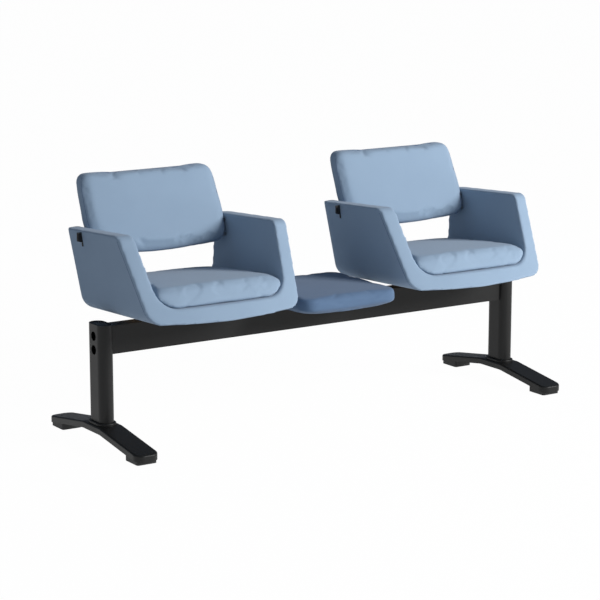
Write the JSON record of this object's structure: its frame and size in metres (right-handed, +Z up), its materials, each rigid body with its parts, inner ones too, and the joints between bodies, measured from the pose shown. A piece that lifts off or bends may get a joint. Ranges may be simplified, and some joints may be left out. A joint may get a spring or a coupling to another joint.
{
  "type": "beam seating",
  "caption": "Upholstered tub chairs and a padded side table carried on a steel beam between legs with arched feet.",
  "frame": {"origin": "on the floor under the middle of the beam", "axes": "+X along the beam, -Y towards the front of the seats, +Z up"},
  "size_m": [1.553, 0.556, 0.764],
  "materials": {
    "upholstery": "woven wool-blend upholstery in greyish blue",
    "powder_coat": "satin black powder coat",
    "cap_plastic": "dark moulded plastic",
    "glide_plastic": "black moulded plastic",
    "zinc_steel": "bright zinc-plated steel",
    "plywood": "birch plywood, sealed",
    "black_tape": "plain black woven tape"
  },
  "bodies": {
    "bench": {"beam": "powder_coat", "left_back_pad": "upholstery", "left_back_studs": "zinc_steel", "left_beam_bolts": "zinc_steel", "left_beam_end_plate": "powder_coat", "left_column": "powder_coat", "left_column_base": "powder_coat", "left_column_cap": "cap_plastic", "left_foot": "powder_coat", "left_foot_bolts": "zinc_steel", "left_label_tab": "black_tape", "left_mount_bolts": "zinc_steel", "left_mount_plate": "powder_coat", "left_saddle": "powder_coat", "left_saddle_screws": "zinc_steel", "left_seat_board": "plywood", "left_seat_cushion": "upholstery", "left_seat_shell": "upholstery", "right_back_pad": "upholstery", "right_back_studs": "zinc_steel", "right_beam_bolts": "zinc_steel", "right_beam_end_plate": "powder_coat", "right_column": "powder_coat", "right_column_base": "powder_coat", "right_column_cap": "cap_plastic", "right_foot": "powder_coat", "right_foot_bolts": "zinc_steel", "right_label_tab": "black_tape", "right_mount_bolts": "zinc_steel", "right_mount_plate": "powder_coat", "right_saddle": "powder_coat", "right_saddle_screws": "zinc_steel", "right_seat_board": "plywood", "right_seat_cushion": "upholstery", "right_seat_shell": "upholstery", "table_board": "plywood", "table_bolts": "zinc_steel", "table_lug_screws": "zinc_steel", "table_lugs": "powder_coat", "table_pad": "upholstery", "table_plate": "powder_coat"},
    "left_front_foot_glide": {"left_front_glide": "glide_plastic"},
    "left_back_foot_glide": {"left_back_glide": "glide_plastic"},
    "right_front_foot_glide": {"right_front_glide": "glide_plastic"},
    "right_back_foot_glide": {"right_back_glide": "glide_plastic"}
  },
  "joints": [
    {"name": "left_front_level", "type": "slide", "parent": "bench", "child": "left_front_foot_glide", "axis": [0, 0, 1], "range_m": [-0.008, 0]},
    {"name": "left_back_level", "type": "slide", "parent": "bench", "child": "left_back_foot_glide", "axis": [0, 0, 1], "range_m": [-0.008, 0]},
    {"name": "right_front_level", "type": "slide", "parent": "bench", "child": "right_front_foot_glide", "axis": [0, 0, 1], "range_m": [-0.008, 0]},
    {"name": "right_back_level", "type": "slide", "parent": "bench", "child": "right_back_foot_glide", "axis": [0, 0, 1], "range_m": [-0.008, 0]}
  ]
}
